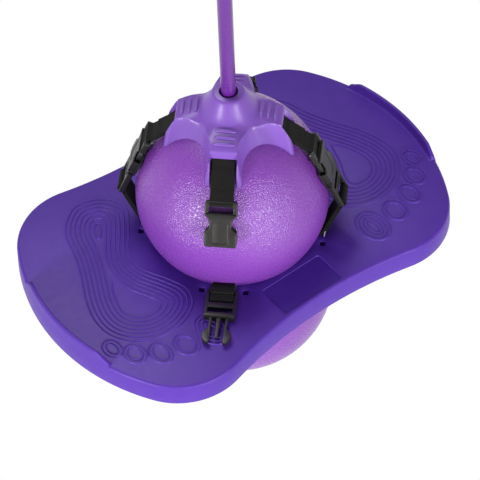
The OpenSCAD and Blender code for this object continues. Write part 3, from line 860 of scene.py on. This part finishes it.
def on_arm(s, t, a):
    return s * cosd(a) - t * sind(a), s * sind(a) + t * cosd(a)


def make_cap():
    """The cap as a height over its plan, with four strap channels, the hollows behind them and the bore."""
    x = np.arange(-80, 80.1, 1.0)
    grid = np.stack(np.meshgrid(x, x, indexing="ij"), 0)
    depth = cap_fields(*grid)[0]
    levels = (0, 0.3, 0.8, 1.5, 2.2, 2.9, 3.6, 4.3, 5, 5.7, 6.4, 7.1, 7.8, 8.6, 9.5, 10.5)
    loops = [even(loop, 1.5, 1) for level in levels for loop in level_loops(depth, x, x, level)]
    rings = [circle(r, 96) for r in (hole_r, pocket[-1][0], 14.5, 16, 17.2, 18.2, 20, 22, 28.5, 30.5, 32.5)]
    lines = []
    for a in ARMS.values():
        for u in (0, 0.35, 0.9):
            half, start = arm_half + u, shoulder_r - u
            channel = ((tip_r + 4, -half), (start, -half), (start, half), (tip_r + 4, half))
            lines.append([on_arm(s, t, a) for s, t in channel])
        pit = ((shoulder_r, -arm_half), (cavity_s, -arm_half), (cavity_s, arm_half), (shoulder_r, arm_half))
        lines.append([on_arm(s, t, a) for s, t in pit])
    step = 1.4
    px, py = np.meshgrid(np.arange(-80, 80, step), np.arange(-80, 80, step))
    d, s, t, top = cap_fields(px, py)
    keep = (d > 11) & (np.hypot(px, py) > 33.5) & ((s < shoulder_r - 1.5) | (t > arm_half + 1.5))
    keep &= np.abs(s - cavity_s) > 0.6
    points = [Vector(p[:2]) for p in np.stack([px[keep], py[keep]], 1)]
    edges = []
    for loop in loops + rings:
        first = len(points)
        points += [Vector(p) for p in loop]
        edges += [(first + i, first + (i + 1) % len(loop)) for i in range(len(loop))]
    for line in lines:
        first = len(points)
        points += [Vector(p) for p in line]
        edges += [(first + i, first + i + 1) for i in range(len(line) - 1)]
    flat, _, tri = delaunay_2d_cdt(points, edges, [], 0, 1e-4)[:3]
    flat, tri = np.array([p[:] for p in flat]), np.array([f for f in tri])
    middle = flat[tri].mean(1)
    s, t = cap_fields(*middle.T)[1:3]
    kept = inside(middle, [loops[0], rings[0]]) & ~((s > shoulder_r) & (t < arm_half))
    hollow, open_ = (s > cavity_s) & (t < arm_half), inside(middle, rings[1:2])
    tri, hollow, open_ = tri[kept], hollow[kept], open_[kept]
    n = len(flat)
    top = cap_fields(*flat.T)[3]
    low = ball_height(np.hypot(*flat.T)) + seat_gap
    heights = [np.maximum(top, low + 0.5), low, np.full(n, cavity_top)]
    floor = np.where(open_, 0, np.where(hollow, 2, 1))
    faces = tri.tolist() + (tri + n * floor[:, None])[floor > 0][:, ::-1].tolist()
    sides = {}
    for f, level in zip(tri, floor):
        for i in range(3):
            sides[(f[i], f[(i + 1) % 3])] = level
    for (i, j), level in sides.items():
        other = sides.get((j, i))
        if other is None and np.hypot(*flat[i]) > hole_r + 0.5:
            faces.append([j, i, i + n * level, j + n * level])
        elif level == 2 and other == 1:
            faces.append([j + 2 * n, i + 2 * n, i + n, j + n])
    shape = Shape().add([(x, y, z) for h in heights for (x, y), z in zip(flat, h)], faces)
    turned(shape, [(hole_r, cap_top)] + pocket + [(pocket[-1][0], float(ball_height(pocket[-1][0])) + seat_gap)],
           sides=96, ends=False)
    used = sorted({i for f in shape.faces for i in f})
    place = {v: k for k, v in enumerate(used)}
    shape.faces = [[place[i] for i in f] for f in shape.faces]
    shape.points, shape.uv = [shape.points[i] for i in used], [shape.uv[i] for i in used]
    make("cap", shape, "cap_plastic", "trainer", replaces=["cap"], sharp=48, weld=0.02)


def make_cap_ribs():
    """Three rounded ribs across the top of each arm, and the bar each strap goes round."""
    ribs, bars = Shape(), Shape()
    half, r = 11.5, 2.0
    for a in ARMS.values():
        for s in (34.5, 42, 49.5):
            rings = []
            for u in np.linspace(-1, 1, 25):
                t = half * math.sin(u * math.pi / 2)
                thick = r * math.sqrt(max(1 - max(abs(t) - half + 3 * r, 0) ** 2 / (3 * r) ** 2, 0.002))
                x, y = on_arm(s, t, a)
                z = float(cap_fields(np.array(x), np.array(y))[3]) - 0.15
                rings.append([(*on_arm(s + thick * cosd(k) * 1.15, t, a), z + thick * sind(k))
                              for k in range(0, 360, 30)])
            loft(ribs, rings)
        ends = [Vector((*on_arm(cap_bar[0], t, a), cap_bar[1])) for t in (-arm_half - 1, arm_half + 1)]
        rod(bars, *ends, 2)
    make("cap_ribs", ribs, "cap_plastic", "trainer", sharp=60)
    make("cap_bars", bars, "cap_plastic", "trainer")


make_cap()
make_cap_ribs()

# ---------------------------------------------------------------- webbing


def ribbon(shape, path, a):
    """Webbing along a path of (radius, height) points in the plane of the arm at angle a."""
    p = even_line(path, 1.2)
    run = np.gradient(p, axis=0)
    run /= np.linalg.norm(run, axis=1)[:, None]
    side = np.stack([-run[:, 1], run[:, 0]], 1)
    at = np.concatenate([[0], np.cumsum(np.linalg.norm(np.diff(p, axis=0), axis=1))])
    w, t = web_w / 2, web_t / 2
    section = [(-w, -0.4 * t), (-w + 0.35, -t), (w - 0.35, -t), (w, -0.4 * t), (w, 0.4 * t), (w - 0.35, t),
               (-w + 0.35, t), (-w, 0.4 * t)]
    rings = [[(*on_arm(q[0] + v * n[0], u, a), q[1] + v * n[1]) for u, v in section] for q, n in zip(p, side)]
    return loft(shape, rings, uv=[(u, along) for along in at for u, v in section])


def even_line(path, step):
    p = np.array(path, float)
    at = np.concatenate([[0], np.cumsum(np.linalg.norm(np.diff(p, axis=0), axis=1))])
    where = np.linspace(0, at[-1], max(4, round(at[-1] / step)))
    return np.stack([np.interp(where, at, p[:, k]) for k in (0, 1)], 1)


def strap_path(p, rp, q, rq, overlap, tail):
    """One length of webbing: under bar q, back up inside, round bar p and down over its own start,
    to an end that stops tail short of q."""
    p, q = Vector(p), Vector(q)
    u = (q - p).normalized()
    n = Vector((-u.y, u.x))
    long = (q - p).length
    lift = web_t + 0.15

    def at(along, off):
        v = p + float(along) * u + float(off) * n
        return v.x, v.y

    def down(start, stop, extra, way):
        """One layer between the bars: clear of each bar, and close to the other layers in between."""
        line = np.linspace(start, stop, 24)
        near = rp * np.maximum(1 - line / 12, 0) ** 1.5 + rq * np.maximum(1 - (long - line) / 12, 0) ** 1.5
        return [at(x, way * np.maximum(web_t / 2 + 0.1, off) + extra) for x, off in zip(line, near)]

    path = down(overlap, long, 0, 1)
    path += [at(long + rq * sind(a), rq * cosd(a)) for a in range(20, 161, 20)]
    path += down(long, 0, 0, -1)
    path += [at(-(rp + lift * a / 180) * sind(a), -(rp + lift * a / 180) * cosd(a)) for a in range(20, 161, 20)]
    path += down(0, long - tail, lift, 1)
    return path, at


def stitches(shape, at, along, off, a):
    """A row of stitches across the webbing."""
    for t in np.arange(-web_w / 2 + 2.2, web_w / 2 - 2, 2.3):
        x, z = at(along, off + 0.05)
        first, last = (Vector((*on_arm(x, t + k, a), z)) for k in (0, 1.5))
        rod(shape, first, last, 0.32, sides=8, round_=0.2)


def along_buckle(o, tilt, y):
    return o[0] + y * sind(tilt), o[1] - y * cosd(tilt)


def place_buckle(tilt, mid):
    return (strap_lift * cosd(tilt) - mid * sind(tilt), upper_z + strap_lift * sind(tilt) + mid * cosd(tilt))


closed_tilt, hang_tilt, flat_tilt = 22, 30, -90
closed_at, hang_at = place_buckle(closed_tilt, -6), place_buckle(hang_tilt, -25)
flat_at = (143, deck_z + 6)
bar_r = 2.2
clear = web_t / 2 + 0.2


def make_straps(side, a):
    open_ = side == "front_right"
    upper_body = "front_right_strap" if open_ else "trainer"
    bar = along_buckle(hang_at, hang_tilt, fem_bar) if open_ else along_buckle(closed_at, closed_tilt, fem_bar)
    thread = Shape()
    path, at = strap_path(cap_bar, 2 + clear, bar, bar_r + clear, 12, 15)
    make(f"{side}_upper_webbing", ribbon(Shape(), path, a), "webbing", upper_body,
         replaces=[f"{side}_upper_strap"])
    long = (Vector(bar) - Vector(cap_bar)).length
    for k in (17.5, 21):
        stitches(thread, at, long - k, 2 * web_t + 0.3, a)
    make(f"{side}_upper_stitching", thread, "webbing", upper_body)
    if open_:
        path = bezier([(112, 199.7), (117.5, 199.8), (120.6, 201.6), (121.2, 204.2), (119.4, 206.3), (114, 206.9),
                       (107, 207.35), (102.8, 206.3), (100.4, 203.8), (99.9, 199.5), (99.85, 196), (98.9, 193.8),
                       (97, 193.05), (95, 193.9), (94.15, 195.9), (94.3, 200), (95.6, 204.2), (99, 207.4),
                       (103.5, 208.8), (107, 209.1), (111.5, 208.8)])
        piece = make(f"{side}_lower_webbing", ribbon(Shape(), path, a), "webbing", None,
                     replaces=[f"{side}_lower_strap"])
        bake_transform(piece)
        return
    thread = Shape()
    bar = along_buckle(closed_at, closed_tilt, male_bar)
    path, at = strap_path(bar, bar_r + clear, deck_bar, 1.9 + clear, 8, 12)
    make(f"{side}_lower_webbing", ribbon(Shape(), path, a), "webbing", "trainer",
         replaces=[f"{side}_lower_strap"])
    long = (Vector(bar) - Vector(deck_bar)).length
    stitches(thread, at, long - 15, 2 * web_t + 0.3, a)
    make(f"{side}_lower_stitching", thread, "webbing", "trainer")


# ---------------------------------------------------------------- buckles


def buckle_frame(a, tilt, o):
    """A buckle's own frame: x across, y down the strap, z away from the ball."""
    out = Vector((cosd(a), sind(a), 0))
    up = Vector((0, 0, 1))
    down = sind(tilt) * out - cosd(tilt) * up
    face = cosd(tilt) * out + sind(tilt) * up
    turn = Matrix((Vector((sind(a), -cosd(a), 0)), down, face)).transposed().to_4x4()
    return Matrix.Translation(o[0] * out + o[1] * up) @ turn


def mirrored(points):
    """An outline from its right half, listed from the top down."""
    return list(points) + [(-x, y) for x, y in points[::-1]]


def make_female(side, a, tilt, o, body):
    place, shape = buckle_frame(a, tilt, o), Shape()
    half = 17.2
    body_half = [(half, -36.5), (15.6, -34), (11.6, -28.6), (11.6, -21.2), (17.2, -16.6), (17.2, 0)]
    shell = fillet(mirrored(body_half), [1.2, 2, 2.5, 2.5, 2.5, 3] * 2)
    label = fillet([(-7.4, -27), (7.4, -27), (7.4, -4.5), (-7.4, -4.5)], 1.6)
    slab(shape, [shell, label], 3.1, 5, 0.6, place)
    slab(shape, [fillet([(-8.2, -27.8), (8.2, -27.8), (8.2, -3.7), (-8.2, -3.7)], 1)], 3.2, 4.45, 0.2, place)
    slab(shape, [shell], -5, -3.1, 0.6, place)
    frame_outline = fillet([(-half, -50.3), (half, -50.3), (half, -33.6), (-half, -33.6)], [3.2, 3.2, 0.8, 0.8])
    window = fillet([(-13, -44.8), (13, -44.8), (13, -37), (-13, -37)], 1.2)
    slab(shape, [frame_outline, window], -3.1, 3.1, 0.7, place)
    rod(shape, (-14, fem_bar, 0), (14, fem_bar, 0), bar_r, place)
    for s in (-1, 1):
        x0, x1 = sorted((s * 13.6, s * 16.9))
        block(shape, (x0, -16.2, -3.4), (x1, -0.5, 3.4), 0.3, place)
    make(f"{side}_female_half", shape, "buckle_plastic", body, replaces=[f"{side}_female_buckle"], sharp=35)


def make_male(side, a, tilt, o, body):
    place, shape = buckle_frame(a, tilt, o), Shape()
    half = 16.9
    frame_outline = fillet([(-half, 0.2), (half, 0.2), (half, 38.3), (-half, 38.3)], [0.8, 0.8, 2.6, 2.6])
    first = fillet([(-13.4, 5.6), (13.4, 5.6), (13.4, 12.8), (-13.4, 12.8)], 1)
    second = fillet([(-13.4, 20), (13.4, 20), (13.4, 34), (-13.4, 34)], 1)
    slab(shape, [frame_outline, first, second], -3, 3, 0.7, place)
    block(shape, (-half, 0, -4.5), (half, 5.6, 4.5), 0.9, place)
    for k in range(3):
        block(shape, (-9, 14 + 1.9 * k, 2.6), (9, 15 + 1.9 * k, 3.35), 0.3, place)
    spine = fillet([(-2.6, 0.5), (-1.6, -27.5), (1.6, -27.5), (2.6, 0.5)], 0.8)
    slab(shape, [spine], -1.9, 1.9, 0.5, place)
    make(f"{side}_male_half", shape, "buckle_plastic", body, replaces=[f"{side}_male_buckle"], sharp=35)
    wing = [(7.2, 0.8), (10.6, 0.8), (10.2, -14.8), (13.2, -17.2), (15.4, -20.5), (15.9, -24), (15.4, -28),
            (13.6, -31.8),
            (11, -34.3), (7.3, -34.4), (7, -29), (7.4, -12)]
    for p, s in (("a", 1), ("b", -1)):
        outline = fillet([(s * x, y) for x, y in wing], [0.3, 0.3, 1.5, 1.5, 1.5, 1.5, 1.5, 1.5, 1, 1, 1, 1], 3)
        prong = slab(Shape(), [outline], -2.4, 2.4, 0.6, place)
        make(f"{side}_prong_{p}_spring", prong, "buckle_plastic", f"{side}_prong_{p}",
             replaces=[f"{side}_prong_{p}"], sharp=35)


for side, arm in ARMS.items():
    make_straps(side, arm)
    if side == "front_right":
        make_female(side, arm, hang_tilt, hang_at, "front_right_female")
        make_male(side, arm, flat_tilt, flat_at, "front_right_male")
    else:
        make_female(side, arm, closed_tilt, closed_at, "trainer")
        make_male(side, arm, closed_tilt, closed_at, "trainer")

# ---------------------------------------------------------------- handle

bar_z = (grip_lo.z + grip_hi.z) / 2
grip_r = (grip_hi.z - grip_lo.z) / 2
hub_r = hub_hi.y
across = Matrix.Translation((0, 0, bar_z)) @ Matrix.Rotation(math.radians(90), 4, "Y")


def make_hub():
    shape = turned(Shape(), [(11, hub_lo.z), (11.8, hub_lo.z + 0.3), (12.2, hub_lo.z + 1.2), (12.4, hub_lo.z + 8),
                             (13, hub_lo.z + 18), (13.8, hub_lo.z + 27), (14.8, hub_lo.z + 33), (15.6, hub_lo.z + 37),
                             (10, hub_lo.z + 42)], sides=72)
    turned(shape, [(hub_r - 1.6, -25), (hub_r - 0.5, -24.6), (hub_r, -23.4), (hub_r, -21), (hub_r - 0.5, -20.4),
                   (hub_r - 0.5, 20.4), (hub_r, 21), (hub_r, 23.4), (hub_r - 0.5, 24.6), (hub_r - 1.6, 25)],
           across, 72)
    hub = make("hub", shape, "hub_plastic", None, replaces=["handle_hub"], sharp=40)
    cut(hub, turned(Shape(), [(tube_r + 0.15, hub_lo.z - 2), (tube_r + 0.15, bar_z - 8)], sides=48))
    cut(hub, turned(Shape(), [(11.05, -30), (11.05, 30)], across, 64))
    cut(hub, turned(Shape(), [(5.4, bar_z + 13), (5.4, bar_z + 24)], sides=40))
    hub.data.polygons.foreach_set("use_smooth", [True] * len(hub.data.polygons))
    hub.data.set_sharp_from_angle(angle=math.radians(40))
    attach(hub, "handle")


def make_grip(name, side, low, high):
    """Foam sleeve: a little loose and uneven, with rounded ends."""
    inner = min(abs(low), abs(high))
    long = abs(high - low)
    profile = [(11.2, 0.1), (grip_r - 1.9, 0.1), (grip_r - 0.9, 0.7), (grip_r - 0.35, 1.8)]
    profile += [(grip_r - 0.3 + 0.22 * math.sin(z * 0.21) + 0.08 * math.sin(z * 0.83), z)
                for z in np.arange(4, long - 4, 2)]
    profile += [(grip_r - 0.35, long - 1.8), (grip_r - 0.9, long - 0.7), (grip_r - 1.9, long - 0.1),
                (11.2, long - 0.1)]
    turn = Matrix.Translation((side * inner, 0, bar_z)) @ Matrix.Rotation(math.radians(90 * side), 4, "Y")
    foam = make(f"{name}_foam", turned(Shape(), profile + profile[:1], turn, 64, ends=False), "grip_foam", "handle",
                replaces=[name])


def make_end_cap(name, side, start, end):
    """Domed plug in the end of the bar."""
    long = abs(end - start)
    r = grip_r - 1
    profile = [(8.9, -14), (8.9, 0), (r - 0.5, 0), (r, 0.5), (r, 1.6), (r - 0.5, 2.8), (r - 2, 3.9), (r - 5, 4.6),
               (r - 9, long - 0.1), (0.4, long)]
    turn = Matrix.Translation((start, 0, bar_z)) @ Matrix.Rotation(math.radians(90 * side), 4, "Y")
    make(f"{name}_dome", turned(Shape(), profile, turn, 64), "cap_plastic", "handle", replaces=[name])


make_hub()
make_grip("left_grip", 1, grip_lo.x, grip_hi.x)
make_grip("right_grip", -1, -grip_hi.x, -grip_lo.x)
make_end_cap("left_end_cap", 1, end_hi.x - 5, end_hi.x)
make_end_cap("right_end_cap", -1, 5 - end_hi.x, -end_hi.x)

for part in frame["record"]["subparts"]:
    node = bpy.data.objects[part["node"]]
    if not node.hide_render:
        for place in node.material_slots:
            place.material = FINISHES[part["material_slot"]]

# ---------------------------------------------------------------- floor and lights


def stage_material(seen, lit):
    """White that shows as seen to the camera and lights the object as lit."""
    material = bpy.data.materials.new("stage_white")
    material.use_nodes = True
    nodes, links = material.node_tree.nodes, material.node_tree.links
    nodes.clear()
    kinds = ("OutputMaterial", "Emission", "LightPath", "MapRange")
    out, glow, path, mix = (nodes.new("ShaderNode" + kind) for kind in kinds)
    mix.inputs["To Min"].default_value = lit
    mix.inputs["To Max"].default_value = seen
    links.new(path.outputs["Is Camera Ray"], mix.inputs["Value"])
    links.new(mix.outputs["Result"], glow.inputs["Strength"])
    links.new(glow.outputs["Emission"], out.inputs["Surface"])
    return material


sky_light = 0.33


def make_stage():
    """A white floor and a white sky; the sky lights the object at sky_light."""
    size = 12 * M
    shape = Shape().add([(-size, -size, 0), (size, -size, 0), (size, size, 0), (-size, size, 0)], [[0, 1, 2, 3]])
    floor = make("floor", shape, "plug_nylon", None)
    floor.data.materials[0] = stage_material(1.0, 0.95)
    world = bpy.data.worlds.new("studio")
    bpy.context.scene.world = world
    world.use_nodes = True
    nodes, links = world.node_tree.nodes, world.node_tree.links
    nodes["Background"].inputs["Color"].default_value = (1, 1, 1, 1)
    path, strength = nodes.new("ShaderNodeLightPath"), nodes.new("ShaderNodeMath")
    strength.operation = "MULTIPLY_ADD"
    strength.inputs[1].default_value, strength.inputs[2].default_value = 1 - sky_light, sky_light
    links.new(path.outputs["Is Camera Ray"], strength.inputs[0])
    links.new(strength.outputs[0], nodes["Background"].inputs["Strength"])
    return floor


def soft_box(name, azimuth, elevation, distance, width, height, power):
    """A rectangular light aimed at the ball; azimuth 0 is in front, and positive to the right."""
    light = bpy.data.lights.new(name, "AREA")
    light.shape, light.size, light.size_y, light.energy = "RECTANGLE", width, height, power
    lamp = bpy.data.objects.new(name, light)
    bpy.context.scene.collection.objects.link(lamp)
    a = azimuth + view_azimuth
    back = Vector((sind(a) * cosd(elevation), -cosd(a) * cosd(elevation), sind(elevation)))
    lamp.location = Vector((0, 0, 0.25)) + back * distance
    lamp.rotation_euler = back.to_track_quat("Z", "Y").to_euler()


make_stage()
soft_box("left_box", -42, 6, 1.5, 0.16, 0.34, 15)
soft_box("right_box", 36, 7, 1.5, 0.14, 0.30, 12)
soft_box("front_box", 14, 1, 2.2, 1.3, 0.24, 13)
soft_box("top_box", -150, 64, 1.8, 0.8, 0.8, 16)
bpy.context.scene.view_settings.view_transform = "Standard"
